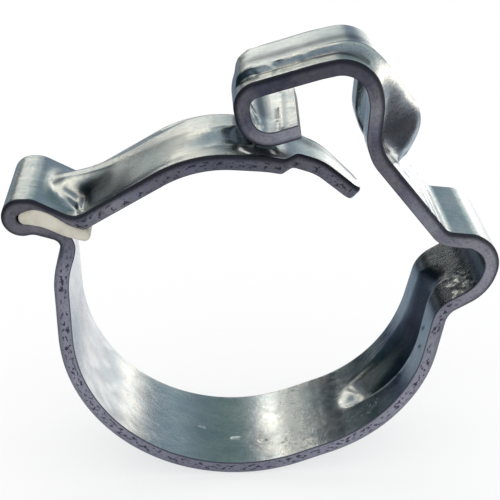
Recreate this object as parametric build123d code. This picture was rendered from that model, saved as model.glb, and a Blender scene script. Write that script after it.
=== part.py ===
from build123d import *
import os
from math import cos, radians, sin, tan

os.makedirs("parts", exist_ok=True)

# Spring-steel hose clamp, closed. The strip is bent in the XZ plane and its width runs along Y.
# The origin is the centre of the hose bore; +Z points from the bore to the latch.
# The strip is one pressing: its sections are named here, and meet at the bends that flex.

# Driving dimensions, mm
BORE_R = 11.5          # hose bore, held by the lower left of the band
BAND_W = 8.0           # width of the strip
BAND_T = 1.0           # thickness of the strip
RIB_W = 4.2            # outside width of the pressed stiffening ribs
RIB_WALL = 0.9         # metal left each side of a rib's groove
RIB_SKIN = 0.8         # metal left over a rib's groove
SEAT_GAP = 0.05        # clearance between the hook's curl and its seat
SADDLE_W = 3.4         # width of the raised seat the curl rests on
INSERT_LIP = 0.3       # how far the insert swells over the strip's edges

# The round wall of the bore, as angles about the origin from +X
ROUND_LEFT = 179
ROUND_RIGHT = 291

HALF_W = BAND_W / 2
HALF_T = BAND_T / 2
MID_R = BORE_R + HALF_T

# Corners of the strip's middle line as (x, z, bend radius)
LEG = [(-11.92, 4.82, 7.3), (-11.37, 6.38, 2.0)]
FOLD_FOOT = (-11.03, 7.83, 1.1)
FOLD_LOWER = [(-13.33, 8.64, 1.5), (-15.09, 8.27, 0.8)]
FOLD_UPPER = [(-14.6, 10.16, 0.8), (-13.38, 10.15, 1.1)]
VALLEY = (-10.65, 8.62, 1.6)
ARM = [(-2.95, 13.1, 8.2), (2.67, 12.62, 9.2)]
TONGUE = [(5.25, 11.5, 4.2), (8.15, 8.8, 0)]

RING_RIGHT = (12.24, -8.16, 11.0)
EAR_FOOT = (13.81, 1.32, 2.0)
EAR_LOW = (16.53, 2.97, 2.9)
EAR_HIGH = (17.16, 5.71, 2.0)
EAR_TOP = [(15.5, 6.75, 1.1), (13.45, 7.0, 1.4)]
FLANK = [(8.79, 12.82, 3.0), (8.37, 14.09, 3.1), (8.51, 16.65, 3.7)]
HOOK_TOP = [(7.66, 19.37, 2.2), (4.79, 18.75, 8.0), (-0.09, 17.34, 1.25)]
CURL = (0.49, 14.13, 1.7)
LIP = [(2.37, 14.49, 1.6), (3.64, 14.88, 0)]

# Crests of the pressed ribs on the outside of the strip as (x, z, bend radius)
ARM_CREST = [(-13.9, 10.3, 0), (-9.9, 10.95, 3.0), (-7.2, 12.05, 8.0), (-3.6, 14.15, 5.0), (-1.3, 14.2, 1.3),
             (-0.3, 13.3, 0)]
HOOK_CREST = [(10.5, 10.9, 0), (12.2, 13.5, 1.4), (8.1, 20.6, 2.8), (1.6, 18.95, 2.0), (-0.1, 17.9, 0)]

# Raised seat under the curl, before it is hollowed, as (x, z, bend radius)
SADDLE_TOP = [(-0.45, 13.3, 0), (-0.25, 14.7, 0), (0.1, 14.75, 0), (2.7, 14.1, 0), (2.9, 12.9, 0)]
SADDLE_FOOT = [(-0.45, 12.9, 0), (2.9, 12.5, 0)]

# Outline of the soft insert in the fold as (x, z, bend radius), left to right
INSERT_TOP = [(-14.35, 9.1, 0), (-14.0, 10.05, 0.45), (-12.9, 10.4, 0.45), (-10.9, 8.6, 1.5), (-9.7, 8.25, 0.2),
              (-9.55, 8.0, 0)]
INSERT_FOOT = [(-14.35, 9.1, 0), (-14.2, 8.95, 0.1), (-13.0, 8.95, 1.0), (-11.0, 7.65, 0.8), (-9.7, 7.65, 0.25),
               (-9.55, 8.0, 0)]

# Plan of the release tongue, one side, as (x, y, bend radius)
SHOULDER = (4.5, 1.75, 1.0)
FINGERTIP = (8.55, 1.4, 1.3)

STEEL_COLOUR = (0.62, 0.64, 0.66)
INSERT_COLOUR = (0.86, 0.83, 0.74)

# Where the sections meet
LOOP_SPLIT = 0.67      # share of the way round the left fold
EAR_SPLIT = 0.465      # share of the way up the outside of the ear
VALLEY_X = -9.9
SADDLE_X = -0.45
KINK_X = 2.95
EAR_Z = 8.0
FLANK_Z = 16.6
CURL_X = 1.0


def point_on_round(radius, degrees):
    """Point on a circle about the bore."""
    return (radius * cos(radians(degrees)), radius * sin(radians(degrees)))


def between(start, end, share):
    """Point part of the way from one corner to the next, as a square end."""
    return (start[0] + (end[0] - start[0]) * share, start[1] + (end[1] - start[1]) * share, 0)


def shifted(corners, distance):
    """The same bent line moved to its own left by a distance, with each bend radius kept concentric."""
    spots = [Vector(x, z) for x, z, _ in corners]
    runs = [(b - a).normalized() for a, b in zip(spots, spots[1:])]
    runs = [runs[0]] + runs + [runs[-1]]
    moved = []
    for spot, (_, _, radius), before, after in zip(spots, corners, runs, runs[1:]):
        left_before = Vector(-before.Y, before.X)
        left_after = Vector(-after.Y, after.X)
        mitre = (left_before + left_after) / (1 + left_before.dot(left_after))
        turn = before.cross(after).Z
        new_radius = radius - distance * (1 if turn > 0 else -1) if radius else 0
        place = spot + mitre * distance
        moved.append((place.X, place.Y, new_radius))
    return moved


def bend(before, corner, after):
    """Centre, start, middle and end of the round bend at a corner."""
    spot = Vector(*corner[:2])
    back = (Vector(*before[:2]) - spot).normalized()
    on = (Vector(*after[:2]) - spot).normalized()
    bisector = (back + on).normalized()
    half_angle = radians(back.get_angle(on)) / 2
    setback = corner[2] / tan(half_angle)
    centre = spot + bisector * (corner[2] / sin(half_angle))
    return centre, spot + back * setback, centre - bisector * corner[2], spot + on * setback


def bent_line(corners):
    """Straight runs joined by round bends, as a list of edges."""
    edges = []
    pen = Vector(*corners[0][:2])
    for before, corner, after in zip(corners, corners[1:], corners[2:]):
        _, bend_start, bend_middle, bend_end = bend(before, corner, after)
        edges.append(Line(pen, bend_start))
        if corner[2]:
            edges.append(ThreePointArc(bend_start, bend_middle, bend_end))
        pen = bend_end
    edges.append(Line(pen, Vector(*corners[-1][:2])))
    return edges


def slab(first, second, width):
    """Solid between two bent lines, spread evenly over a width in Y."""
    outline = bent_line(first) + bent_line(second)
    for one, other in ((first[0], second[0]), (first[-1], second[-1])):
        if one[:2] != other[:2]:
            outline.append(Line(one[:2], other[:2]))
    return extrude(Plane.XZ * make_face(outline), width / 2, both=True)


def strip(corners):
    """Full-width strip whose middle line follows the corners."""
    return slab(shifted(corners, HALF_T), shifted(corners, -HALF_T), BAND_W)


def round_wall(start, end):
    """Part of the band that is truly round about the bore, between two angles."""
    wall = [CenterArc((0, 0), radius, start, end - start) for radius in (BORE_R, BORE_R + BAND_T)]
    for angle in (start, end):
        wall.append(Line(point_on_round(BORE_R, angle), point_on_round(BORE_R + BAND_T, angle)))
    return extrude(Plane.XZ * make_face(wall), HALF_W, both=True)


def space(low_x=-30, high_x=30, low_z=-30, high_z=30):
    """Box used to divide the strip into its sections."""
    middle = ((low_x + high_x) / 2, 0, (low_z + high_z) / 2)
    return Pos(*middle) * Box(high_x - low_x, 20, high_z - low_z)


def pressed(sheet, middle_line, crest, outward):
    """The strip with a hollow rib: metal up to the crest, and a groove underneath.

    outward is 1 where the outside of the strip is on the left of the middle line, or -1 on the right.
    """
    metal = slab(crest, middle_line, RIB_W)
    groove_top = shifted(crest, -outward * RIB_SKIN)
    groove_foot = shifted(middle_line, -outward * (HALF_T + 0.1))
    groove = slab(groove_top, groove_foot, RIB_W - 2 * RIB_WALL)
    return sheet + metal - groove


def save(node, shape, colour):
    """Write one section as a STEP file named after it."""
    solid = shape.solids()[0] if len(shape.solids()) == 1 else Compound(shape.solids())
    solid.label = node
    solid.color = Color(*colour)
    export_step(solid, f"parts/{node}.step")
    print(node, "solids", len(shape.solids()), "volume", round(shape.volume, 2))


# Band: the round wall, then the leg up to the fold on the left and the rise to the ear on the right
left_start = (*point_on_round(MID_R, ROUND_LEFT), 0)
right_start = (*point_on_round(MID_R, ROUND_RIGHT), 0)
leg_end = between(LEG[-1], FOLD_FOOT, 0.25)
rise_end = between(RING_RIGHT, EAR_FOOT, 0.85)
band_left = round_wall(ROUND_LEFT, 270) + strip([left_start] + LEG + [leg_end])
band_right = round_wall(270, ROUND_RIGHT) + strip([right_start, RING_RIGHT, rise_end])

# Left fold, in two halves that part when the latch arm lifts
loop_cut = between(FOLD_LOWER[-1], FOLD_UPPER[0], LOOP_SPLIT)
fold_lower = strip([leg_end, FOLD_FOOT] + FOLD_LOWER + [loop_cut])

# Latch arm: from the fold over the valley to the tongue, with a hollow rib bridging the valley
arm_sheet = strip([loop_cut] + FOLD_UPPER + [VALLEY] + ARM + TONGUE)
arm_rib_foot = [(-13.6, 10.1, 0), VALLEY, ARM[0], (-0.3, 12.9, 0)]
arm = pressed(arm_sheet, arm_rib_foot, ARM_CREST, 1)
fold_upper = arm & space(high_x=VALLEY_X)
latch_arm = arm & space(low_x=VALLEY_X, high_x=SADDLE_X)

# Seat: a raised saddle across the middle of the arm, hollowed to take the curl
saddle = slab(SADDLE_TOP, SADDLE_FOOT, SADDLE_W)
curl_centre = bend(HOOK_TOP[-1], CURL, LIP[0])[0]
curl_room = Pos(curl_centre.X, 0, curl_centre.Y) * Rot(90, 0, 0) * Cylinder(CURL[2] + HALF_T + SEAT_GAP, BAND_W)
latch_seat = (arm & space(low_x=SADDLE_X, high_x=KINK_X)) + saddle - curl_room

# Release tongue: the strip cut down to a rounded finger
finger_side = [(KINK_X - 1, HALF_W, 0), (KINK_X, HALF_W, 0), SHOULDER, FINGERTIP, (FINGERTIP[0], 0, 0)]
far_side = bent_line(finger_side)
near_side = [mirror(edge, Plane.XZ) for edge in far_side]
finger_back = Line((KINK_X - 1, HALF_W), (KINK_X - 1, -HALF_W))
finger = extrude(make_face(far_side + near_side + [finger_back]), 30)
release_tongue = arm & space(low_x=KINK_X) & finger

# Hook: from the outside of the ear up the flank, over the top and round the curl
ear_cut = between(EAR_LOW, EAR_HIGH, EAR_SPLIT)
ear_lower = strip([rise_end, EAR_FOOT, EAR_LOW, ear_cut])
hook_sheet = strip([ear_cut, EAR_HIGH] + EAR_TOP + FLANK + HOOK_TOP + [CURL] + LIP)
hook_rib_foot = [(11.5, 9.2, 0)] + FLANK + HOOK_TOP[:2] + [(0.6, 17.5, 0)]
hook = pressed(hook_sheet, hook_rib_foot, HOOK_CREST, -1)
ear_upper = hook & space(high_z=EAR_Z)
above_ear = hook & space(low_z=EAR_Z)
hook_flank = above_ear & space(low_x=5, high_z=FLANK_Z)
hook_bridge = above_ear & space(low_x=CURL_X, low_z=FLANK_Z)
hook_curl = (above_ear & space(high_x=5)) - space(low_x=CURL_X, low_z=FLANK_Z)

# Soft insert: fills the gap in the left fold and swells over both edges of the strip
bead = slab(INSERT_TOP, INSERT_FOOT, BAND_W + 2 * INSERT_LIP)
fold_insert = bead - band_left - fold_lower - arm

for name, part in (("band_left", band_left), ("band_right", band_right), ("fold_lower", fold_lower),
                   ("fold_upper", fold_upper), ("latch_arm", latch_arm), ("latch_seat", latch_seat),
                   ("release_tongue", release_tongue), ("ear_lower", ear_lower), ("ear_upper", ear_upper),
                   ("hook_flank", hook_flank), ("hook_bridge", hook_bridge), ("hook_curl", hook_curl),
                   ("fold_insert", fold_insert)):
    save(name, part, INSERT_COLOUR if name == "fold_insert" else STEEL_COLOUR)
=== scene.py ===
import math

import bpy
import numpy as np
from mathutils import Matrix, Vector


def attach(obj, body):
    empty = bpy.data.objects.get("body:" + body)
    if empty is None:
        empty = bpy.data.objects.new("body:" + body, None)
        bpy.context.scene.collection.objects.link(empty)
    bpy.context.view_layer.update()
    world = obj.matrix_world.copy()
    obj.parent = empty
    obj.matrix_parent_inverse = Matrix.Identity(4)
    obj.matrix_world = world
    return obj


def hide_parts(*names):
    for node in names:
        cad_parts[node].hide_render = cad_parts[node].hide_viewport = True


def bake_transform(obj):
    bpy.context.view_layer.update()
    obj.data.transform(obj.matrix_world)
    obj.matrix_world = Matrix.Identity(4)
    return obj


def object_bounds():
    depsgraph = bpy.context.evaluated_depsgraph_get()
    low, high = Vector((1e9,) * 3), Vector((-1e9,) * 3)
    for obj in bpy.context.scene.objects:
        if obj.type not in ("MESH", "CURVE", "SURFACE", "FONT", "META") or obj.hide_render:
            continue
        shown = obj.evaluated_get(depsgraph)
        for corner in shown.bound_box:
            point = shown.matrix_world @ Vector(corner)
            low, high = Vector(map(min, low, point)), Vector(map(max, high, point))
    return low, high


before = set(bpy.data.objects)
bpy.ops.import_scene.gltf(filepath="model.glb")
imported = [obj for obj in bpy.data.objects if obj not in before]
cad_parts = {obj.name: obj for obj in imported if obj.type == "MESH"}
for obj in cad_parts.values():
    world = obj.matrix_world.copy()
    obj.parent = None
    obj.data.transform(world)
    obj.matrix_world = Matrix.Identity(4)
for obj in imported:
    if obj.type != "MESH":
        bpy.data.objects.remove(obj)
cad_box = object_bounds()

# Reusable snap-on hose clamp. Lengths below are in millimetres, in the frame of the CAD part: the hose
# axis is the Y axis, +Z is up and -Y is the near side. Meshes are scaled to metres when they are made.
MM = 0.001
BORE_R = 11.5
THICK = 1.0
MID_R = BORE_R + THICK / 2
ROUND_LEFT = 180.0
ROUND_RIGHT = 291.0

# Corners of the strip's middle line: x, z, bend radius. The line runs from the tongue's tip along
# the arm, round the fold, down the leg, round the hose, round the ear and over the hook to the lip.
TONGUE = [(8.12, 8.72, 0), (5.33, 11.3, 4.2)]
ARM = [(2.71, 12.41, 9.2), (-2.95, 12.89, 8.2)]
VALLEY = [(-10.71, 8.38, 1.6)]
FOLD = [(-13.46, 9.92, 1.1), (-14.69, 9.93, 0.8), (-15.18, 8.03, 0.8), (-13.41, 8.4, 1.5)]
LEG = [(-11.09, 7.61, 1.1), (-11.41, 6.24, 2.0), (-11.96, 4.67, 7.3)]
RISE = [(12.24, -8.16, 11.0)]
EAR = [(13.9, 1.11, 2.0), (16.63, 2.77, 2.9), (17.27, 5.52, 2.0), (15.6, 6.57, 1.1), (13.54, 6.82, 1.4)]
FLANK = [(8.89, 12.59, 3.0), (8.46, 13.87, 3.1), (8.6, 16.45, 3.7)]
HOOK = [(7.77, 19.14, 2.2), (4.87, 18.51, 8.0), (-0.06, 17.09, 1.25)]
CURL = [(0.53, 13.8, 1.7)]
LIP = [(2.35, 14.1, 1.6), (3.78, 14.52, 0)]
STEP = 0.13

# Top outlines of the pressed ribs, and the places on the middle line where they start and end: x, z.
ARM_CREST = [(0.8, 13.6), (0.1, 14.05), (-0.8, 14.15), (-1.9, 14.1), (-3.6, 13.7), (-5.4, 12.85),
             (-7.2, 11.85), (-9.0, 11.05), (-10.6, 10.6), (-11.8, 10.48), (-12.9, 10.44)]
ARM_RIB_ENDS = [(1.35, 12.6), (-14.0, 9.9)]
HOOK_CREST = [(11.2, 11.45), (11.8, 12.7), (12.1, 13.9), (11.8, 15.1), (10.95, 16.25), (10.15, 17.35),
              (9.3, 18.5), (8.3, 19.45), (7.2, 19.95), (6.1, 19.85), (4.9, 19.55), (3.3, 19.05), (1.65, 18.6),
              (0.6, 18.3), (-0.1, 17.8)]
HOOK_RIB_ENDS = [(10.2, 10.7), (-0.6, 16.6)]

# Tables below start with a place along the middle line, which is 114 mm long.
# Place, half-width of the strip; after the last row it narrows to LIP_HALF at the lip's end.
HALF_WIDTHS = [(0, 1.05), (3.0, 1.55), (4.1, 1.72), (5.6, 1.95), (6.15, 2.9), (6.5, 3.55), (21, 3.55),
               (31, 3.6), (40, 4.0), (73, 4.0), (78, 3.65), (86, 3.75), (98, 3.45), (106, 3.3)]
LIP_HALF = 3.2
WIDTH_BLUR = 0.22
# Place, then how far the rib's wall stands from the strip's middle, at its foot and at its top.
ARM_RIB = [(8.5, 1.8, 0.3), (10, 1.9, 0.8), (11.5, 2.1, 1.15), (13, 2.7, 1.0), (15, 3.3, 0.5),
           (17, 3.4, 0.3), (19, 3.2, 0.3), (21, 2.8, 0.3), (22.5, 3.1, 0.1), (24, 3.5, 0.0)]
HOOK_RIB = [(91, 1.2, 0.2), (93, 1.6, 0.3), (95, 1.8, 0.4), (97, 2.0, 0.7), (99, 2.1, 1.2), (101, 2.1, 1.6)]
# Groove pressed outwards in the ring below the ear: place, half-width to the near and to the far side.
GROOVE = [(64.8, 0.9, 0.9), (65.6, 1.25, 1.5), (67.6, 1.5, 2.0), (69.2, 1.8, 2.3), (71, 2.05, 2.5),
          (73.5, 2.1, 2.5), (75, 2.0, 2.4), (77.2, 1.7, 2.1), (78.2, 1.2, 1.5), (78.9, 0.9, 1.0)]
GROOVE_DEPTH = 0.9
GROOVE_START = 64.4
GROOVE_END = 79.4
GROOVE_EASE = 3.0
GROOVE_LOW = 0.2  # its deepest line, as a share of the near half-width, off the middle to the near side
GROOVE_ROUND = 0.45  # how much of the far wall's profile is round; the rest is S-shaped

# The tongue's tip: radius of its corners, and of its nose through the thickness.
TIP_R = 1.1
NOSE_R = 0.42
# The lip: how far it is cut askew and how far it flares, and the length over which each grows.
LIP_SKEW = 0.16
LIP_SKEW_LENGTH = 2.6
LIP_FLARE = 0.6
LIP_FLARE_LENGTH = 5.5
# The flattened far corner where the hook's top turns into its curl: depth, place, half-length, fade.
CORNER_FLAT = 0.42
CORNER_PLACE = 108.6
CORNER_HALF = 0.4
CORNER_FADE = 1.7

# Cross-section: the rolled outer edge, the sharper inner edge, and points across each face.
EDGE_OUT = 0.24
EDGE_IN = 0.07
ACROSS = 60


def fillet_line(corners, step):
    """Points along a line through corners, each corner rounded to its radius."""
    pts = [np.array(corners[0][:2], float)]
    for before, here, after in zip(corners, corners[1:], corners[2:]):
        a, b, c = (np.array(p[:2], float) for p in (before, here, after))
        u = (a - b) / np.linalg.norm(a - b)
        v = (c - b) / np.linalg.norm(c - b)
        inner = math.acos(float(np.clip(u @ v, -1, 1)))
        turn = math.pi - inner
        if here[2] <= 0 or turn < 1e-3:
            pts.append(b)
            continue
        reach = here[2] / math.tan(inner / 2)
        first = b + u * reach
        centre = b + (u + v) / np.linalg.norm(u + v) * here[2] / math.sin(inner / 2)
        way = 1 if (b - a)[0] * (c - b)[1] - (b - a)[1] * (c - b)[0] > 0 else -1
        a0 = math.atan2(*(first - centre)[::-1])
        count = max(2, math.ceil(turn / math.radians(4)), math.ceil(turn * here[2] / step))
        for i in range(count + 1):
            t = a0 + way * turn * i / count
            pts.append(centre + here[2] * np.array([math.cos(t), math.sin(t)]))
    pts.append(np.array(corners[-1][:2], float))
    out = [pts[0]]
    for p in pts[1:]:
        gap = np.linalg.norm(p - out[-1])
        if gap < 1e-6:
            continue
        a = out[-1]
        count = max(1, math.ceil(gap / step))
        out += [a + (p - a) * i / count for i in range(1, count + 1)]
    return np.array(out)


def lengths(line):
    """Distance along a line to each of its points."""
    return np.r_[0, np.cumsum(np.linalg.norm(np.diff(line, axis=0), axis=1))]


def smooth(t):
    """0 below 0, 1 above 1, easing in and out between them."""
    t = np.clip(t, 0, 1)
    return t * t * t * (t * (6 * t - 15) + 10)


def hump(x, centre, half, soft):
    """1 within half of centre, falling to 0 over soft."""
    return smooth((half + soft - np.abs(x - centre)) / soft)


def on_round(angle):
    """A corner without a radius, where the middle line lies on the hose."""
    a = math.radians(angle)
    return (MID_R * math.cos(a), MID_R * math.sin(a), 0)


ring = [on_round(a) for a in np.linspace(ROUND_LEFT, ROUND_RIGHT, 112)]
MID = fillet_line(TONGUE + ARM + VALLEY + FOLD + LEG + ring + RISE + EAR + FLANK + HOOK + CURL + LIP, STEP)
S = lengths(MID)
LENGTH = S[-1]
TANGENT = np.gradient(MID, S, axis=0)
TANGENT /= np.linalg.norm(TANGENT, axis=1)[:, None]
NORMAL = np.stack([TANGENT[:, 1], -TANGENT[:, 0]], 1)
OUTER = MID + NORMAL * THICK / 2


def station(x, z):
    """The place along the strip nearest to a point."""
    return S[np.argmin(np.hypot(MID[:, 0] - x, MID[:, 1] - z))]


def columns(table):
    """The columns after the first, at every place along the strip."""
    rows = np.array(table, float)
    return [np.interp(S, rows[:, 0], column) for column in rows.T[1:]]


def soften(values, spread):
    """Values along the strip averaged over a spread in mm."""
    weights = np.exp(-((S[:, None] - S[None]) / spread) ** 2)
    return weights @ values / weights.sum(1, keepdims=True)


def rounded(points):
    """A smooth line near a list of points, by corner cutting."""
    line = np.array(points, float)
    for _ in range(4):
        mixed = np.stack([0.75 * line[:-1] + 0.25 * line[1:], 0.25 * line[:-1] + 0.75 * line[1:]], 1)
        line = np.vstack([line[:1], mixed.reshape(-1, 2), line[-1:]])
    return line


def rib_lift(crest, ends, ease_in, ease_out, spread):
    """How far each place on the plain strip is lifted, in x and z, to reach a rib's crest."""
    s0, s1 = (station(*p) for p in ends)
    feet = [OUTER[np.argmin(abs(S - s))] for s in (s0, s1)]
    line = rounded([feet[0]] + crest + [feet[1]])
    reached = lengths(line)
    t = np.clip((S - s0) / (s1 - s0), 0, 1) * reached[-1]
    lift = np.stack([np.interp(t, reached, line[:, k]) for k in (0, 1)], 1) - OUTER
    lift = lift * (smooth((S - s0) / ease_in) * smooth((s1 - S) / ease_out))[:, None]
    return soften(lift, spread)


# Half-width, with the step between tongue and arm softened and the tongue's tip rounded off.
HALF = soften(columns(HALF_WIDTHS + [(LENGTH, LIP_HALF)])[0][:, None], WIDTH_BLUR)[:, 0]
tip = np.clip((TIP_R - S) / TIP_R, 0, 1)
HALF = HALF * np.sqrt(np.clip(1 - tip ** 2, 0.02, 1))

arm_lift = rib_lift(ARM_CREST, ARM_RIB_ENDS, 1.0, 3.0, 0.35)
hook_lift = rib_lift(HOOK_CREST, HOOK_RIB_ENDS, 0.6, 0.8, 0.15)
arm_foot, arm_top = columns(ARM_RIB)
hook_foot, hook_top = columns(HOOK_RIB)
groove_near, groove_far = columns(GROOVE)
groove_ends = smooth((S - GROOVE_START) / GROOVE_EASE) * smooth((GROOVE_END - S) / GROOVE_EASE)
groove_lift = GROOVE_DEPTH * groove_ends

nose_end = np.clip((NOSE_R - S) / NOSE_R, 0, 1)
nose = np.sqrt(np.clip(1 - nose_end ** 2, 0.05, 1))
corner_flat = CORNER_FLAT * hump(S, CORNER_PLACE, CORNER_HALF, CORNER_FADE)
lip_skew = LIP_SKEW * smooth((S - LENGTH + LIP_SKEW_LENGTH) / LIP_SKEW_LENGTH)
lip_flare = LIP_FLARE * smooth((S - LENGTH + LIP_FLARE_LENGTH) / LIP_FLARE_LENGTH)


def rib_wall(y, foot, top):
    """0 outside the rib's foot, 1 inside its top."""
    t = np.clip((foot - np.abs(y)) / (foot - top), 0, 1)
    return t * t * (3 - 2 * t)


def groove_profile(y):
    """0 outside the groove, 1 on its deepest line."""
    low = -GROOVE_LOW * groove_near[:, None]
    near = smooth((y + groove_near[:, None]) / (low + groove_near[:, None]))
    t = np.clip((groove_far[:, None] - y) / (groove_far[:, None] - low), 0, 1)
    far = (1 - GROOVE_ROUND) * t * t * (3 - 2 * t) + GROOVE_ROUND * np.sin(t * math.pi / 2) ** 1.5
    return np.where(y < low, near, far)


def skin(y, depth):
    """Points of the strip: y across, depth below the outer skin, one row for each station."""
    arm = rib_wall(y, arm_foot[:, None], arm_top[:, None])
    hook = rib_wall(y, hook_foot[:, None], hook_top[:, None])
    p = OUTER[:, None] + arm[..., None] * arm_lift[:, None] + hook[..., None] * hook_lift[:, None]
    rise = groove_profile(y) * groove_lift[:, None]
    deep = THICK / 2 + (depth - THICK / 2) * nose[:, None]
    flat = corner_flat[:, None] * np.clip(y / HALF[:, None], 0, 1) ** 1.5
    p = p + (rise - deep - flat)[..., None] * NORMAL[:, None]
    p = p + (lip_skew[:, None] * (1 + y / HALF[:, None]))[..., None] * TANGENT[:, None]
    return np.stack([p[..., 0], y, p[..., 1]], -1)


def section():
    """Loop of a cross-section: share of the way across (-1 to 1), inset from the edge, depth from
    the outer skin in mm, and whether it lies on the sheared edge."""
    shares = np.linspace(-1, 1, ACROSS)
    outer_face = [(a, EDGE_OUT, 0.0, 0) for a in shares]
    outer_turn = [(1, EDGE_OUT * (1 - math.sin(t)), EDGE_OUT * (1 - math.cos(t)), 1)
                  for t in np.radians([22.5, 45, 67.5, 90])]
    straight = [(1, 0.0, d, 1) for d in np.linspace(EDGE_OUT, THICK - EDGE_IN, 6)[1:]]
    inner_turn = [(1, EDGE_IN * (1 - math.cos(t)), THICK - EDGE_IN * (1 - math.sin(t)), 1)
                  for t in np.radians([30, 60])]
    inner_face = [(a, EDGE_IN, THICK, 0) for a in shares[::-1]]
    far_edge = outer_turn + straight + inner_turn
    near_edge = [(-a, inset, d, cut) for a, inset, d, cut in far_edge[::-1]]
    return outer_face + far_edge + inner_face + near_edge


LOOP = section()
COUNT = len(LOOP)
SIDE = (COUNT - 2 * ACROSS) // 2
share, inset, depth, sheared = np.array(LOOP, float).T
Y = share[None] * (HALF[:, None] - np.minimum(inset[None], HALF[:, None] * 0.8))
Y = Y + lip_flare[:, None] * (1 + share[None]) / 2
SS = np.broadcast_to(S[:, None], Y.shape)
OUT_SIDE = np.broadcast_to(depth < 0.01, Y.shape)
IN_SIDE = np.broadcast_to(depth > THICK - 0.01, Y.shape)
RIM = HALF[:, None] - np.abs(Y)

rng = np.random.default_rng(7)


def stroke(s0, y0, s1, y1, wide):
    """1 on a line between two places on the strip, fading to 0 within wide mm."""
    ds, dy = s1 - s0, y1 - y0
    t = np.clip(((SS - s0) * ds + (Y - y0) * dy) / (ds * ds + dy * dy + 1e-9), 0, 1)
    return np.exp(-(((SS - s0 - t * ds) ** 2 + (Y - y0 - t * dy) ** 2) / wide ** 2))


def strokes(table):
    """Sum of strokes: place and y of both ends, width, amount."""
    return sum(amount * stroke(*line) for *line, amount in table)


def waves(size, count=7, stretch=1.0):
    """Gentle unevenness about size mm across, between -1 and 1."""
    total = np.zeros(Y.shape)
    for _ in range(count):
        a = rng.uniform(0, 2 * math.pi)
        k = 2 * math.pi / (size * rng.uniform(0.7, 1.6))
        total += np.sin((SS * math.cos(a) / stretch + Y * math.sin(a)) * k + rng.uniform(0, 2 * math.pi))
    return total / count


def draw(value):
    """A number as it is, or a random one from a (low, high) pair."""
    return rng.uniform(*value) if isinstance(value, tuple) else value


def scatter(count, places, ys, amount, reach_s, reach_y, wide):
    """Sum of small strokes started at random within a range of places and of y. Their amount and
    how far they reach are numbers or ranges."""
    total = np.zeros(Y.shape)
    for _ in range(count):
        s0, y0 = rng.uniform(*places), rng.uniform(*ys)
        strength = draw(amount)
        ds, dy = draw(reach_s), draw(reach_y)
        total += strength * stroke(s0, y0, s0 + ds, y0 + dy, wide)
    return total


# Height of small relief on the outer and inner faces, in mm away from the metal.
relief_out = 0.006 * waves(2.2) + 0.0025 * waves(0.8)
relief_in = 0.005 * waves(3.0, stretch=2.0)
# Pinched crease and crumple where the arm's rib runs into the fold.
relief_out += 0.2 * stroke(22.7, -1.4, 20.75, -2.15, 0.3) * smooth((23.2 - SS) / 2.2)
relief_out += strokes([
    (20.6, -2.55, 20.3, -3.0, 0.18, 0.08),
    (20.15, -2.0, 19.9, -2.9, 0.3, -0.06),
])
# Press marks where the hook's rib ends.
relief_out += strokes([
    (105.4, -1.75, 104.2, -1.8, 0.15, 0.05),
    (106.9, -1.9, 106.2, -1.85, 0.15, 0.05),
    (107.6, 1.3, 106.9, 1.6, 0.15, 0.05),
])
# Draw lines across the strip at the bend between ear and hook, and dents beyond them.
for s0, up in [(88.15, 0.035), (88.5, -0.04), (88.85, 0.03), (89.3, -0.03), (89.7, 0.02)]:
    relief_out += up * stroke(s0, -3.4, s0 + 0.15, 3.4, 0.13)
relief_out += scatter(9, (90.0, 93.3), (-2.6, 2.4), (-0.06, 0.05), (-0.5, 0.5), (-0.7, 0.7), 0.16)
# Inside of the curl and lip: wrinkles, a slit and a ridge.
LIP_SLIT = (113.0, 0.4, 112.95, -1.1, 0.09)
relief_in += strokes([
    (111.0, -0.4, 110.5, 0.3, 0.17, 0.08),
    (111.2, -1.4, 110.5, -0.9, 0.17, 0.08),
    (111.3, -2.2, 110.8, -1.7, 0.17, -0.07),
    (111.0, -2.8, 111.5, -2.3, 0.17, 0.06),
    (110.4, -0.2, 110.0, -1.4, 0.17, -0.06),
    (*LIP_SLIT, -0.05),
    (112.9, -1.6, 112.8, -3.0, 0.12, -0.04),
    (113.3, 2.9, 113.2, -2.9, 0.14, 0.05),
])
# Rough patch inside the foot of the ear, and a nick at the start of the groove.
relief_in += scatter(26, (78.6, 80.8), (-3.2, -0.6), (-0.05, 0.06), (-0.15, 0.15), (-0.3, 0.3), 0.12)
relief_in += 0.05 * stroke(66.2, 0.7, 65.9, 1.1, 0.12)
# Small dashes struck along the bottom of the ring: place, y, length.
DASHES = [(53.3, -0.19, 0.35), (55.95, -1.18, 0.55), (58.2, -1.67, 0.3)]
relief_in += strokes([(s0, y0, s0 + long, y0, 0.1, 0.06) for s0, y0, long in DASHES])

# Dark stains and painted shade on the outer face.
stain_and_shade_out = strokes([
    # Specks on the flank.
    (93.3, -1.8, 92.8, -1.5, 0.2, 1.0),
    (93.0, -0.6, 92.6, -0.2, 0.17, 1.0),
    (91.2, 0.3, 90.6, 0.5, 0.16, 1.0),
    # Painted shade: dark lines in the crease at the near foot of the hook's rib.
    (107.2, -2.12, 100.4, -2.02, 0.09, 1.0),
    (96.8, -1.85, 93.8, -1.55, 0.1, 1.0),
    # Painted shadow: the black gap where the hook rests on the arm.
    (9.05, -2.6, 6.9, -2.7, 0.8, 1.3),
    # Painted shade: a grey band along the side of the hook's rib, and the gusset's darker foot.
    (106.8, -0.6, 101.0, -0.8, 0.65, 0.7),
    (93.9, -0.9, 95.3, -1.2, 0.8, 0.3),
    # The tongue's torn far rim, and its darker far half.
    (4.4, 1.5, 2.4, 1.22, 0.16, 1.0),
    (2.4, 1.22, 0.6, 0.7, 0.24, 1.0),
    (5.9, 0.8, 0.6, 0.6, 0.55, 0.6),
])
# Dark left end of the hook's top.
stain_and_shade_out += 0.5 * hump(SS, 108.5, 0.9, 0.6)
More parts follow.
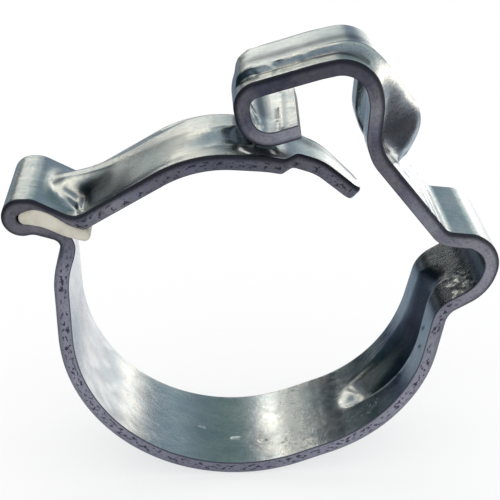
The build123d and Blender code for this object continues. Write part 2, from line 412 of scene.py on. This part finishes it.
# Shadowed hollow where the arm's rib meets the valley, kept just short of black.
stain_and_shade_out += np.minimum(0.82, strokes([
    (20.3, -1.7, 19.0, -1.3, 0.65, 0.66),
    (19.2, -2.1, 17.5, -2.5, 1.1, 0.7),
    (21.6, -1.8, 20.4, -1.6, 0.5, 0.3),
]))

# Painted highlights and glints on the outer face.
painted_highlight_out = strokes([
    # Painted glints at either end of the gap under the curl.
    (9.35, -2.1, 9.2, -2.6, 0.1, 1.6),
    (9.2, -2.6, 8.8, -3.0, 0.1, 1.6),
    (7.35, -2.2, 7.2, -2.7, 0.1, 1.6),
    # Painted highlights on the crease and crumple at the fold, and painted glints on the hook's press marks.
    (22.6, -1.35, 20.8, -2.1, 0.2, 0.9),
    (20.6, -2.55, 20.3, -3.0, 0.14, 0.9),
    (105.6, -1.9, 104.6, -1.95, 0.1, 0.9),
    (106.9, -1.95, 106.3, -1.95, 0.1, 0.9),
    # Painted highlights on the arm beside the hook's curl and along its crest.
    (11.0, -3.2, 13.8, -1.4, 1.2, 0.85),
    (13.4, -0.6, 18.0, -0.6, 0.6, 0.7),
    # Painted highlights on the tongue's near rim, and on the far side of the hook's rib.
    (4.2, -1.6, 1.5, -1.0, 0.35, 0.9),
    (106.5, 2.0, 100.0, 2.0, 0.7, 0.5),
])

# Dark stains and painted shade on the inner face.
stain_and_shade_in = strokes([
    # Specks beside the groove, and the lip's slit.
    (75.6, -2.5, 75.3, -2.2, 0.13, 1.0),
    (74.3, -2.95, 74.0, -2.6, 0.12, 1.0),
    (70.9, -2.2, 70.6, -1.8, 0.1, 1.0),
    (*LIP_SLIT, 1.0),
    # Dull stretches along the near rim of the ring.
    (68.4, -2.0, 70.4, -2.3, 0.6, 0.5),
    (58.7, -3.6, 58.7, -1.4, 1.1, 0.4),
    (45.5, -3.5, 47.8, -3.2, 0.9, 0.3),
])
# Dull start of the groove, and dull far side of the lip.
stain_and_shade_in += 0.45 * hump(SS, 63.8, 0.6, 1.0)
stain_and_shade_in += 0.55 * hump(SS, 111.2, 0.9, 0.6) * smooth((Y + 1.6) / 1.6)
# Painted shade inside the groove, and a darker inside of the ear.
groove_shade = 0.66 * hump(SS, 72.1, 5.3, 1.6) * hump(Y, 0.2, 1.0, 1.3)
stain_and_shade_in += np.maximum(groove_shade, 0.8 * hump(SS, 80.4, 2.0, 2.4))

# Bright scuffs and painted highlights on the inner face: the dashes, a painted highlight on the groove's
# near wall, and a painted highlight in a band across the ring ahead of the groove.
scuff_and_highlight_in = strokes([(s0, y0, s0 + long, y0, 0.12, 1.0) for s0, y0, long in DASHES])
scuff_and_highlight_in += 0.6 * stroke(70.2, -0.95, 72.2, -0.75, 0.4)
scuff_and_highlight_in += 0.55 * hump(SS, 60.9, 0.2, 1.6)
# Worn, rippled patch at the start of the groove.
patch = np.exp(-((SS - 65.6) / 0.75) ** 2 - ((Y - 0.35) / 0.85) ** 2)
scuff_and_highlight_in += np.clip(1.3 * patch * (1 + 1.1 * waves(0.9, 9)), 0, 1)
relief_in += 0.07 * patch * waves(0.8, 9)
# Streaks down the left of the ring.
streaky = hump(SS, 45.2, 3.2, 2.4)
stain_and_shade_in += 0.25 * np.clip(0.3 + waves(1.7, 8, 2.0), 0, 1) * streaky
scuff_and_highlight_in += 0.8 * np.clip(-0.25 + 1.6 * waves(1.4, 8, 1.6), 0, 0.7) * streaky
# Specks along the bottom of the ring, and flecks there, before the groove and at the foot of the ear.
stain_and_shade_in += scatter(16, (59.9, 61.6), (-3.0, -1.7), 1.0, (-0.12, 0.12), 0, 0.09)
scuff_and_highlight_in += scatter(30, (60.6, 62.6), (-3.9, -2.6), 0.8, 0.05, 0, 0.07)
scuff_and_highlight_in += scatter(22, (66.4, 68.2), (-3.2, -2.1), 0.7, 0.05, 0, 0.06)
scuff_and_highlight_in += scatter(16, (78.7, 80.3), (-3.7, -1.2), 1.2, (-0.2, 0.2), (-0.3, 0.3), 0.07)

# The sheared edge is darker (below 0) or paler (above 0) from place to place: place, tone.
EDGE_TONES = [(2, -0.2), (6, -0.4), (10, -0.5), (15, -0.3), (18, 0.15), (24, -0.2), (30, 0.1), (38, 0.2),
              (46, 0.2), (52, -0.1), (58, 0), (64, 0.25), (70, 0.3), (74, 0.25), (78, 0.1), (82, 0.5),
              (86, 0.25), (90, 0.35), (94, -0.1), (98, 0.3), (101, -0.55), (106, -0.55), (110, 0.05),
              (114, 0.5)]
tone = (columns(EDGE_TONES)[0][:, None] + 0.12 * waves(3.0, 9)) * sheared
# Stains and painted shade, and scuffs and painted highlights, with the sheared edge's darker and paler
# stretches.
stain_and_shade = np.clip(stain_and_shade_out * OUT_SIDE + stain_and_shade_in * IN_SIDE + np.clip(-tone, 0, 1), 0, 1)
scuff_and_highlight = np.clip(painted_highlight_out * OUT_SIDE + scuff_and_highlight_in * IN_SIDE + np.clip(tone, 0, 1), 0, 1)


def outward_normals(points):
    """Unit normals of the whole strip's surface, pointing out of the metal."""
    n = np.cross(np.roll(points, -1, 1) - np.roll(points, 1, 1), np.gradient(points, axis=0))
    n /= np.linalg.norm(n, axis=-1, keepdims=True) + 1e-12
    return n if (n[:, ACROSS // 2, 0] * NORMAL[:, 0]).sum() > 0 else -n


# The relief fades out at the rims, so that the edges stay clean.
body = skin(Y, np.broadcast_to(depth, Y.shape))
relief = (relief_out * OUT_SIDE + relief_in * IN_SIDE) * smooth(RIM / 0.35)
body = body + outward_normals(body) * relief[..., None]
shading = outward_normals(body)


def mesh_object(name, verts, faces, materials, index=None, smooth_faces=None, attrs=None):
    """An object made of points in mm and faces: each face's material and whether it is smooth, and
    vectors stored on the points, may be given as well."""
    mesh = bpy.data.meshes.new(name)
    points = np.asarray(verts, float) * MM
    mesh.from_pydata([tuple(v) for v in points], [], [tuple(int(k) for k in f) for f in faces])
    for m in materials:
        mesh.materials.append(m)
    if index is not None:
        mesh.polygons.foreach_set("material_index", np.asarray(index, np.int32))
    flags = np.ones(len(mesh.polygons), bool) if smooth_faces is None else np.asarray(smooth_faces, bool)
    mesh.polygons.foreach_set("use_smooth", flags)
    for key, values in (attrs or {}).items():
        a = mesh.attributes.new(key, "FLOAT_VECTOR", "POINT")
        a.data.foreach_set("vector", np.asarray(values, np.float32).ravel())
    mesh.update()
    obj = bpy.data.objects.new(name, mesh)
    bpy.context.scene.collection.objects.link(obj)
    return obj


def tube_faces(rows, count):
    """Faces between rows of a closed loop of count points."""
    faces = []
    for r in range(rows - 1):
        for k in range(count):
            m = (k + 1) % count
            faces.append((r * count + k, r * count + m, (r + 1) * count + m, (r + 1) * count + k))
    return faces


def cap_faces(base):
    """Faces that close the strip's cross-section whose first point has the number base."""
    caps = []
    for k in range(ACROSS - 1):
        low = 2 * ACROSS + SIDE - 1 - k
        caps.append((base + k, base + k + 1, base + low - 1, base + low))
    caps.append(tuple(base + k for k in range(ACROSS - 1, ACROSS + SIDE + 1)))
    caps.append(tuple(base + k % COUNT for k in range(2 * ACROSS + SIDE - 1, COUNT + 1)))
    return caps


def strip_piece(name, s0, s1, materials):
    """A closed length of the strip between two stations."""
    i0, i1 = np.argmin(abs(S - s0)), np.argmin(abs(S - s1))
    rows = np.arange(i0, i1 + 1)
    n = len(rows)
    place = np.stack([SS[rows], Y[rows], np.broadcast_to(depth, Y[rows].shape)], -1)
    # Distance to the rim, stains and painted shade, and scuffs and painted highlights.
    marks_and_light = np.stack([RIM[rows], stain_and_shade[rows], scuff_and_highlight[rows]], -1)
    sides = tube_faces(n, COUNT)
    on_edge = (sheared + np.roll(sheared, -1)) > 0
    caps = [f[::-1] for f in cap_faces(0)] + cap_faces((n - 1) * COUNT)
    index = list(np.tile(on_edge, n - 1)) + [1] * len(caps)
    flags = [True] * len(sides) + [False] * len(caps)
    attrs = {"place": place.reshape(-1, 3), "marks_and_light": marks_and_light.reshape(-1, 3)}
    obj = mesh_object(name, body[rows].reshape(-1, 3), sides + caps, materials, index, flags, attrs)
    mesh = obj.data
    if mesh.polygons[0].normal.dot(Vector(shading[i0, 1])) < 0:
        mesh.flip_normals()
    # The sides are shaded as one surface with the pieces next to them; the two ends are flat.
    corner = np.empty(len(mesh.loops), np.int32)
    mesh.loops.foreach_get("vertex_index", corner)
    normals = shading[rows].reshape(-1, 3)[corner]
    for p in mesh.polygons[len(sides):]:
        for k in p.loop_indices:
            normals[k] = p.normal
    mesh.normals_split_custom_set([tuple(v) for v in normals])
    return obj


BAR_POINTS = 26  # along each side of a bar's section
BAR_BLUR = 0.35
BAR_CAP = 9  # round each end of its section, counting the two that the sides already have
BAR_ROWS = 48
BAR_END = 0.03  # size of the first and last rows as a share of the full section


def rounded_bar(name, spine, half, material):
    """A soft bar across the strip: spine holds (x, z, radius) along its section, half is its
    half-length along Y. Its ends are domed."""
    x, z, radii = np.array(spine, float).T
    t = lengths(np.stack([x, z], 1))
    fine_t = np.linspace(0, t[-1], BAR_POINTS)
    kernel = np.exp(-((fine_t[:, None] - fine_t[None]) / BAR_BLUR) ** 2)
    kernel /= kernel.sum(1, keepdims=True)
    line = np.stack([kernel @ np.interp(fine_t, t, values) for values in (x, z)], 1)
    r = (kernel @ np.interp(fine_t, t, radii))[:, None]
    forward = np.gradient(line, axis=0)
    forward /= np.linalg.norm(forward, axis=1, keepdims=True)
    left = np.stack([-forward[:, 1], forward[:, 0]], 1)
    turn = np.linspace(0, math.pi, BAR_CAP)[1:-1, None]
    last_cap = (left[-1] * np.cos(turn) + forward[-1] * np.sin(turn)) * r[-1]
    first_cap = -(left[0] * np.cos(turn) + forward[0] * np.sin(turn)) * r[0]
    still = np.ones_like(turn)
    anchors = np.vstack([line, line[-1] * still, line[::-1], line[0] * still])
    offsets = np.vstack([left * r, last_cap, (-left * r)[::-1], first_cap])
    dome = float(r.mean())
    verts = []
    for y in half * np.linspace(-1, 1, BAR_ROWS):
        over = max(0.0, abs(y) - (half - dome)) / dome
        p = anchors + offsets * max(BAR_END, math.sqrt(max(0.0, 1 - over ** 2)))
        verts.append(np.stack([p[:, 0], np.full(len(p), y), p[:, 1]], 1))
    count = len(anchors)
    ends = [tuple(range(count))[::-1], tuple((BAR_ROWS - 1) * count + j for j in range(count))]
    return mesh_object(name, np.concatenate(verts), tube_faces(BAR_ROWS, count) + ends, [material])


def put(tree, kind, inputs=None, **props):
    """Adds a node, sets its properties, and fills its inputs with values or other nodes' outputs."""
    node = tree.nodes.new(kind)
    for key, value in props.items():
        setattr(node, key, value)
    for key, value in (inputs or {}).items():
        if hasattr(value, "is_output"):
            tree.links.new(value, node.inputs[key])
        else:
            node.inputs[key].default_value = value
    return node


def calc(tree, op, *args):
    """The result of one sum on values or outputs."""
    return put(tree, "ShaderNodeMath", dict(enumerate(args)), operation=op).outputs[0]


def ramp(tree, value, low, high, to_low=0.0, to_high=1.0):
    """to_low where value is below low, to_high where it is above high, smooth between them."""
    limits = {"Value": value, "From Min": low, "From Max": high, "To Min": to_low, "To Max": to_high}
    return put(tree, "ShaderNodeMapRange", limits, interpolation_type="SMOOTHSTEP").outputs[0]


def blend_colour(tree, amount, first, second):
    """The first colour where amount is 0, the second where it is 1."""
    return put(tree, "ShaderNodeMixRGB", {0: amount, 1: first, 2: second}).outputs[0]


def split(tree, vector):
    """The three parts of a vector."""
    return put(tree, "ShaderNodeSeparateXYZ", {0: vector}).outputs


def attribute(tree, name):
    """A vector stored on the mesh's points."""
    return put(tree, "ShaderNodeAttribute", attribute_name=name).outputs["Vector"]


def noise(tree, vector, scale, stretch=(1, 1, 1), detail=3.0, rough=0.55, offset=(0, 0, 0)):
    moved = put(tree, "ShaderNodeMapping", {"Vector": vector, "Scale": stretch, "Location": offset})
    inputs = {"Vector": moved.outputs[0], "Scale": scale, "Detail": detail, "Roughness": rough}
    return put(tree, "ShaderNodeTexNoise", inputs).outputs["Fac"]


def bump(tree, height, distance, strength=1.0, under=None):
    inputs = {"Height": height, "Distance": distance * MM, "Strength": strength}
    if under is not None:
        inputs["Normal"] = under
    return put(tree, "ShaderNodeBump", inputs).outputs[0]


def new_material(name):
    mat = bpy.data.materials.new(name)
    mat.use_nodes = True
    return mat, mat.node_tree, mat.node_tree.nodes["Principled BSDF"]


def rgb(r, g, b):
    return (r, g, b, 1)


def ring_share(tree, along, rise, fall):
    """1 on the ring, 0 on the rest of the strip, changing over two (low, high) stretches."""
    return calc(tree, "MULTIPLY", ramp(tree, along, *rise), ramp(tree, along, *fall, 1, 0))


def plated_steel():
    """Zinc plating on rolled strip: lengthwise grain, cloudy colour, pits, stains and painted shade, and
    bright scuffs and painted highlights.
    """
    mat, tree, bsdf = new_material("zinc_plated_steel")
    place = attribute(tree, "place")
    rim, stain_and_shade_amount, scuff_and_highlight_amount = split(tree, attribute(tree, "marks_and_light"))
    along = split(tree, place)[0]
    clouds = noise(tree, place, 0.45, (0.7, 1, 1), 4.0, 0.6)
    mottle = noise(tree, place, 1.7, (0.7, 1, 1), 5.0, 0.65, (3, 7, 1))
    grain = noise(tree, place, 2.2, (0.16, 4.5, 1), 4.0, 0.7)
    speck = noise(tree, place, 9.0, (1, 1, 1), 2.0, 0.6, (11, 5, 2))
    cells = put(tree, "ShaderNodeTexVoronoi", {"Vector": place, "Scale": 3.4, "Randomness": 1.0})
    pits = cells.outputs["Distance"]
    lines = noise(tree, place, 1.1, (0.05, 9.0, 1), 2.0, 0.5, (1, 2, 9))
    salt = noise(tree, place, 13.0, (0.6, 1.4, 1), 3.0, 0.75, (5, 8, 3))
    # The grain is weaker on the ring and on the hook than on the arm and fold.
    ringward = ring_share(tree, along, (30, 34), (76, 80))
    hookward = ramp(tree, along, 88, 92, 1, 0.35)
    brushed = calc(tree, "MULTIPLY", ramp(tree, ringward, 0, 1, 1, 0.25), hookward)

    tint = blend_colour(tree, ramp(tree, clouds, 0.35, 0.65), rgb(0.56, 0.62, 0.63), rgb(0.74, 0.75, 0.72))
    tint = blend_colour(tree, ramp(tree, mottle, 0.52, 0.78, 0, 0.4), tint, rgb(0.36, 0.4, 0.43))
    pale_grain = calc(tree, "MULTIPLY", ramp(tree, grain, 0.45, 0.75, 0, 0.35), brushed)
    tint = blend_colour(tree, pale_grain, tint, rgb(0.9, 0.9, 0.86))
    tint = blend_colour(tree, ramp(tree, speck, 0.62, 0.75, 0, 0.35), tint, rgb(0.25, 0.27, 0.3))
    tint = blend_colour(tree, ramp(tree, salt, 0.5, 0.72, 0, 0.5), tint, rgb(0.3, 0.32, 0.35))
    tint = blend_colour(tree, ramp(tree, salt, 0.5, 0.3, 0, 0.45), tint, rgb(1.0, 1.0, 0.96))
    edge = calc(tree, "MULTIPLY", ramp(tree, rim, 0.0, 0.5, 1, 0), ramp(tree, mottle, 0.35, 0.6))
    tint = blend_colour(tree, calc(tree, "MULTIPLY", edge, 0.5), tint, rgb(0.9, 0.9, 0.88))
    scratch = ramp(tree, lines, 0.66, 0.74)
    tint = blend_colour(tree, calc(tree, "MULTIPLY", scratch, 0.4), tint, rgb(0.9, 0.9, 0.86))
    # Stains and painted shade darken the colour to near black; scuffs and painted highlights pale it.
    tint = blend_colour(tree, calc(tree, "MULTIPLY", stain_and_shade_amount, 0.985), tint, rgb(0.022, 0.025, 0.04))
    tint = blend_colour(tree, scuff_and_highlight_amount, tint, rgb(0.95, 0.95, 0.9))
    tree.links.new(tint, bsdf.inputs["Base Color"])

    rough = ramp(tree, mottle, 0.3, 0.75, 0.13, 0.24)
    rough_grain = calc(tree, "MULTIPLY", ramp(tree, grain, 0.35, 0.7, -0.02, 0.08), brushed)
    rough = calc(tree, "ADD", rough, rough_grain)
    rough = calc(tree, "ADD", rough, calc(tree, "MULTIPLY", scuff_and_highlight_amount, 0.2))
    tree.links.new(rough, bsdf.inputs["Roughness"])
    # The heaviest stains and painted shade, such as the black gap under the hook's curl, hide the metal.
    darkest_stain_and_shade = ramp(tree, stain_and_shade_amount, 0.85, 1.0)
    tree.links.new(calc(tree, "SUBTRACT", 1.0, darkest_stain_and_shade), bsdf.inputs["Metallic"])
    bsdf.inputs["Specular IOR Level"].default_value = 0.12

    normal = bump(tree, calc(tree, "MULTIPLY", grain, brushed), 0.01)
    normal = bump(tree, mottle, 0.018, 1.0, normal)
    normal = bump(tree, ramp(tree, pits, 0.0, 0.1), 0.008, 0.5, normal)
    normal = bump(tree, speck, 0.004, 1.0, normal)
    normal = bump(tree, salt, 0.0035, 1.0, normal)
    tree.links.new(normal, bsdf.inputs["Normal"])
    return mat


def sheared_steel():
    """The cut edge of the strip: dull, streaked across its thickness, with dark torn dashes."""
    mat, tree, bsdf = new_material("sheared_edge")
    along, across, deep = split(tree, attribute(tree, "place"))
    stain_and_shade_amount, scuff_and_highlight_amount = split(tree, attribute(tree, "marks_and_light"))[1:]
    # Along the edge and through the thickness, whichever way the edge faces.
    slight = calc(tree, "MULTIPLY", across, 0.3)
    flat = put(tree, "ShaderNodeCombineXYZ", {0: along, 1: deep, 2: slight}).outputs[0]
    cloud = noise(tree, flat, 0.9, (0.8, 1.2, 1), 4.0, 0.6)
    fine = noise(tree, flat, 6.0, (1, 1.2, 1), 4.0, 0.65, (4, 1, 3))
    streak = noise(tree, flat, 5.0, (1.5, 0.18, 0.2), 3.0, 0.6)
    torn = noise(tree, flat, 2.6, (1.0, 1.9, 1), 3.0, 0.6, (2, 5, 7))
    patchy = noise(tree, flat, 0.5, (0.8, 0.9, 1), 3.0, 0.6, (9, 2, 4))
    ringward = ring_share(tree, along, (29.5, 33.0), (77.0, 81.0))
    armward = ramp(tree, along, 20.0, 24.0, 1, 0)

    # The fold and the hook are darker than the ring and the arm.
    dark_side = blend_colour(tree, armward, rgb(0.08, 0.08, 0.115), rgb(0.24, 0.245, 0.3))
    dark_side = blend_colour(tree, ramp(tree, patchy, 0.42, 0.62, 0, 0.75), dark_side, rgb(0.23, 0.21, 0.225))
    tint = blend_colour(tree, ringward, dark_side, rgb(0.27, 0.265, 0.33))
    tint = blend_colour(tree, ramp(tree, cloud, 0.4, 0.7, 0, 0.35), tint, rgb(0.14, 0.14, 0.19))
    tint = blend_colour(tree, ramp(tree, streak, 0.45, 0.75, 0, 0.18), tint, rgb(0.3, 0.3, 0.36))
    # The edge's darker and paler stretches, blended with the faces' stains, painted shade and painted
    # highlights.
    tint = blend_colour(tree, stain_and_shade_amount, tint, rgb(0.03, 0.032, 0.055))
    tint = blend_colour(tree, scuff_and_highlight_amount, tint, rgb(0.62, 0.62, 0.68))
    tint = blend_colour(tree, ramp(tree, fine, 0.5, 0.75, 0, 0.5), tint, rgb(0.06, 0.06, 0.09))
    # Torn dashes in the middle of the thickness.
    middle = calc(tree, "MULTIPLY", ramp(tree, deep, 0.2, 0.4), ramp(tree, deep, 0.75, 0.95, 1, 0))
    dashed = ramp(tree, calc(tree, "MAXIMUM", ringward, armward), 0, 1, 0.25, 1)
    dash = calc(tree, "MULTIPLY", calc(tree, "MULTIPLY", ramp(tree, torn, 0.53, 0.6), middle), dashed)
    tint = blend_colour(tree, calc(tree, "MULTIPLY", dash, 0.85), tint, rgb(0.018, 0.02, 0.035))
    # The rolled outer edge and the sharp inner edge are nearly black.
    rolled_start = calc(tree, "ADD", 0.02, calc(tree, "MULTIPLY", fine, 0.12))
    rolled = ramp(tree, deep, rolled_start, 0.42, 1, 0)
    rolled = calc(tree, "MULTIPLY", rolled, ramp(tree, ringward, 0, 1, 0.92, 0.35))
    tint = blend_colour(tree, rolled, tint, rgb(0.012, 0.013, 0.024))
    inner_line = ramp(tree, deep, 0.9, 0.97)
    tint = blend_colour(tree, calc(tree, "MULTIPLY", inner_line, 0.7), tint, rgb(0.02, 0.02, 0.035))
    tree.links.new(tint, bsdf.inputs["Base Color"])

    bsdf.inputs["Metallic"].default_value = 0.55
    tree.links.new(ramp(tree, fine, 0.3, 0.7, 0.42, 0.62), bsdf.inputs["Roughness"])
    normal = bump(tree, streak, 0.008)
    normal = bump(tree, fine, 0.02, 1.0, normal)
    normal = bump(tree, dash, -0.03, 1.0, normal)
    tree.links.new(normal, bsdf.inputs["Normal"])
    return mat


def cream_polymer():
    """A soft cream moulding: faintly cloudy and uneven, with small dull specks."""
    mat, tree, bsdf = new_material("cream_polymer")
    # Object coordinates are in metres, so the scales of the noise are large.
    at = put(tree, "ShaderNodeTexCoord").outputs["Object"]
    cloud = noise(tree, at, 500, (1, 1, 1), 4.0, 0.6)
    fine = noise(tree, at, 2600, (1, 1, 1), 3.0, 0.6)
    tint = blend_colour(tree, ramp(tree, cloud, 0.35, 0.7), rgb(0.6, 0.575, 0.49), rgb(0.44, 0.42, 0.345))
    tint = blend_colour(tree, ramp(tree, fine, 0.55, 0.75, 0, 0.3), tint, rgb(0.42, 0.39, 0.31))
    tree.links.new(tint, bsdf.inputs["Base Color"])
    tree.links.new(ramp(tree, fine, 0.3, 0.7, 0.42, 0.6), bsdf.inputs["Roughness"])
    bsdf.inputs["Subsurface Weight"].default_value = 0.15
    bsdf.inputs["Subsurface Radius"].default_value = (0.6 * MM, 0.45 * MM, 0.3 * MM)
    normal = bump(tree, cloud, 0.12)
    normal = bump(tree, fine, 0.015, 1.0, normal)
    tree.links.new(normal, bsdf.inputs["Normal"])
    return mat


steel = plated_steel()
cut = sheared_steel()
cream = cream_polymer()

# Where the strip is divided, and stretches of z or x that each piece is given but that change nothing.
FOLD_TOP = station(-13.7, 9.9)
FOLD_LOW = station(-14.0, 8.3)
EAR_LOW = station(15.3, 1.95)
EAR_TOP = station(14.6, 6.7)
FOLD_BLEND_Z = (9.0, 9.35)
BOTTOM_BLEND_X = (-6.0, 6.0)
EAR_BLEND_Z = (2.9, 5.9)


def blend_between(piece, stretch, axis):
    """Bakes a piece's transform into its mesh. The stretch and axis only set two end points, which are not
    used.
    """
    ends = [[0, 0, 0], [0, 0, 0]]
    for end, value in zip(ends, stretch):
        end[axis] = value * MM
    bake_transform(piece)


arm_strip = strip_piece("latch_arm_strip", 0, FOLD_TOP, [steel, cut])
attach(arm_strip, "arm")
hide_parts("latch_arm", "release_tongue")

fold_strip = strip_piece("fold_loop_strip", FOLD_TOP, FOLD_LOW, [steel, cut])
blend_between(fold_strip, FOLD_BLEND_Z, 2)
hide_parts("fold_upper", "fold_lower")

band_strip = strip_piece("hose_band_strip", FOLD_LOW, EAR_LOW, [steel, cut])
blend_between(band_strip, BOTTOM_BLEND_X, 0)
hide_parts("band_left", "band_right")

ear_strip = strip_piece("ear_loop_strip", EAR_LOW, EAR_TOP, [steel, cut])
blend_between(ear_strip, EAR_BLEND_Z, 2)
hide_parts("ear_lower", "ear_upper")

hook_strip = strip_piece("hook_strip", EAR_TOP, LENGTH, [steel, cut])
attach(hook_strip, "hook")
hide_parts("hook_flank", "hook_bridge", "hook_curl")

# The soft insert swells past the fold's mouth, and the seat fills the hollow under the hook's curl.
BEAD_SPINE = [(-13.95, 9.12, 0.42), (-13.3, 9.22, 0.63), (-12.55, 8.98, 0.56), (-11.2, 8.12, 0.43),
              (-10.0, 7.72, 0.4)]
BEAD_HALF = 3.9
SEAT_SPINE = [(1.1, 13.2, 0.3), (1.7, 13.12, 0.34), (2.3, 13.15, 0.34), (2.75, 13.35, 0.26)]
SEAT_HALF = 1.7

bead = rounded_bar("insert_bead", BEAD_SPINE, BEAD_HALF, cream)
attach(bead, "band")
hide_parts("fold_insert")

seat = rounded_bar("seat_saddle", SEAT_SPINE, SEAT_HALF, steel)
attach(seat, "arm")
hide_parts("latch_seat")

FLOOR_HALF = 3000.0
FLOOR_GAP = 0.05


def make_floor():
    """A plain pale floor just under the part, unseen by the metal's reflections."""
    half = FLOOR_HALF * MM
    corners = [(-half, -half, 0), (half, -half, 0), (half, half, 0), (-half, half, 0)]
    mesh = bpy.data.meshes.new("floor")
    mesh.from_pydata(corners, [], [(0, 1, 2, 3)])
    obj = bpy.data.objects.new("floor", mesh)
    obj.location = (0, 0, cad_box[0][2] - FLOOR_GAP * MM)
    obj.visible_glossy = False
    bpy.context.scene.collection.objects.link(obj)
    mat, _, bsdf = new_material("pale_floor")
    bsdf.inputs["Base Color"].default_value = rgb(0.35, 0.35, 0.35)
    bsdf.inputs["Roughness"].default_value = 0.9
    bsdf.inputs["Emission Color"].default_value = rgb(1, 1, 1)
    bsdf.inputs["Emission Strength"].default_value = 0.62
    mesh.materials.append(mat)


# Studio surroundings, seen only in reflections. Each card is a soft-edged panel on the sphere round
# the object, painted over the ones before it: azimuth and elevation of its middle, half-width,
# half-height and softness in degrees, rise of its middle line per degree of azimuth, and colour.
# Azimuth 0 is +Y, 90 is +X.
CARDS = [
    (2, -66, 200, 28, 12.6, 0.15, (0.54, 0.58, 0.64)),
    (-76, -28, 30, 5, 9.0, 0.25, (0.03, 0.04, 0.07)),
    (126, 50, 73, 30, 19.5, 0.62, (0.27, 0.32, 0.33)),
    (-2, 91, 200, 10, 8.3, 0.10, (0.72, 0.69, 0.63)),
    (-92, 14, 61, 20, 6.9, -0.07, (0.01, 0.02, 0.03)),
    (-87, 41, 50, 16, 1.6, -0.34, (0.01, 0.02, 0.02)),
    (-63, 68, 51, 9, 1.5, -0.47, (0.96, 0.92, 0.80)),
    (-32, 40, 27, 9, 11.5, -0.25, (0.15, 0.17, 0.18)),
    (-57, 38, 15, 9, 8.0, -0.25, (0.36, 0.38, 0.37)),
    (-22, 15, 16, 18, 1.5, 0.0, (0.03, 0.04, 0.05)),
    (-14, 16, 10, 6, 4.0, 0.35, (1.08, 1.06, 0.98)),
    (-16, 38, 5, 6, 4.0, -0.3, (1.6, 1.56, 1.45)),
    (1, 20, 6, 12, 5.0, 0.0, (0.5, 0.53, 0.52)),
    (23, 45, 25, 12, 8.6, 0.22, (0.07, 0.11, 0.11)),
    (71, -1, 50, 8, 6.9, -0.02, (1.08, 1.03, 0.97)),
    (26, 5, 1, 17, 7.1, 0.22, (0.56, 0.72, 0.69)),
    (-25, -1.5, 10, 3.5, 2.5, 0.0, (0.3, 0.33, 0.32)),
    (-58, -11, 27, 5, 5.8, 0.19, (0.01, 0.01, 0.03)),
    (155, -28, 50, 15, 8.5, 0.04, (0.05, 0.05, 0.06)),
    (29, -15, 31, 11, 3.6, 0.32, (0.6, 0.6, 0.62)),
    (24, -9, 5, 6, 3, 0.1, (1.3, 1.3, 1.3)),
    (-120, 41, 13, 8, 4, 0.0, (0.03, 0.04, 0.06)),
]
BETWEEN_CARDS = (0.136, 0.169, 0.209)
REFLECTED_LIGHT = 1.7
PLAIN_LIGHT = 1.15


def build_studio():
    """The painted cards for reflections, and plain white light for the camera and diffuse rays."""
    world = bpy.data.worlds.new("studio")
    bpy.context.scene.world = world
    world.use_nodes = True
    tree = world.node_tree
    x, y, z = split(tree, put(tree, "ShaderNodeTexCoord").outputs["Generated"])
    to_degrees = 180 / math.pi
    azimuth = calc(tree, "MULTIPLY", calc(tree, "ARCTAN2", x, y), to_degrees)
    elevation = calc(tree, "MULTIPLY", calc(tree, "ARCSINE", z), to_degrees)
    base = put(tree, "ShaderNodeRGB")
    base.outputs[0].default_value = rgb(*BETWEEN_CARDS)
    colour = base.outputs[0]
    for az0, el0, half_az, half_el, soft, slope, tint in CARDS:
        da = calc(tree, "SUBTRACT", azimuth, az0)
        de = calc(tree, "SUBTRACT", calc(tree, "SUBTRACT", elevation, el0), calc(tree, "MULTIPLY", da, slope))
        within_az = ramp(tree, calc(tree, "ABSOLUTE", da), half_az - soft, half_az + soft, 1, 0)
        within_el = ramp(tree, calc(tree, "ABSOLUTE", de), half_el - soft, half_el + soft, 1, 0)
        colour = blend_colour(tree, calc(tree, "MULTIPLY", within_az, within_el), colour, rgb(*tint))
    studio = tree.nodes["Background"]
    tree.links.new(colour, studio.inputs["Color"])
    studio.inputs["Strength"].default_value = REFLECTED_LIGHT
    plain = put(tree, "ShaderNodeBackground", {"Color": rgb(1, 1, 1), "Strength": PLAIN_LIGHT})
    path = put(tree, "ShaderNodeLightPath").outputs
    direct = calc(tree, "MAXIMUM", path["Is Camera Ray"], path["Is Diffuse Ray"])
    pick = put(tree, "ShaderNodeMixShader", {0: direct, 1: studio.outputs[0], 2: plain.outputs[0]})
    tree.links.new(pick.outputs[0], tree.nodes["World Output"].inputs[0])
    bpy.context.scene.view_settings.view_transform = "Standard"


CAMERA_AT = (-2.635, -63.766, 40.606)
CAMERA_PITCH = 29.586  # degrees down
CAMERA_YAW = 3.1  # degrees towards +X
CAMERA_SENSOR = 36
CAMERA_LENS = 75.6
CAMERA_NEAR = 1.0
CAMERA_FAR = 20000.0


def place_camera():
    """A camera that sees the part as the photograph does."""
    data = bpy.data.cameras.new("camera")
    data.sensor_width = CAMERA_SENSOR
    data.lens = CAMERA_LENS
    data.clip_start = CAMERA_NEAR * MM
    data.clip_end = CAMERA_FAR * MM
    obj = bpy.data.objects.new("camera", data)
    obj.location = tuple(v * MM for v in CAMERA_AT)
    obj.rotation_euler = (math.pi / 2 - math.radians(CAMERA_PITCH), 0, -math.radians(CAMERA_YAW))
    bpy.context.scene.collection.objects.link(obj)
    bpy.context.scene.camera = obj


make_floor()
build_studio()
place_camera()
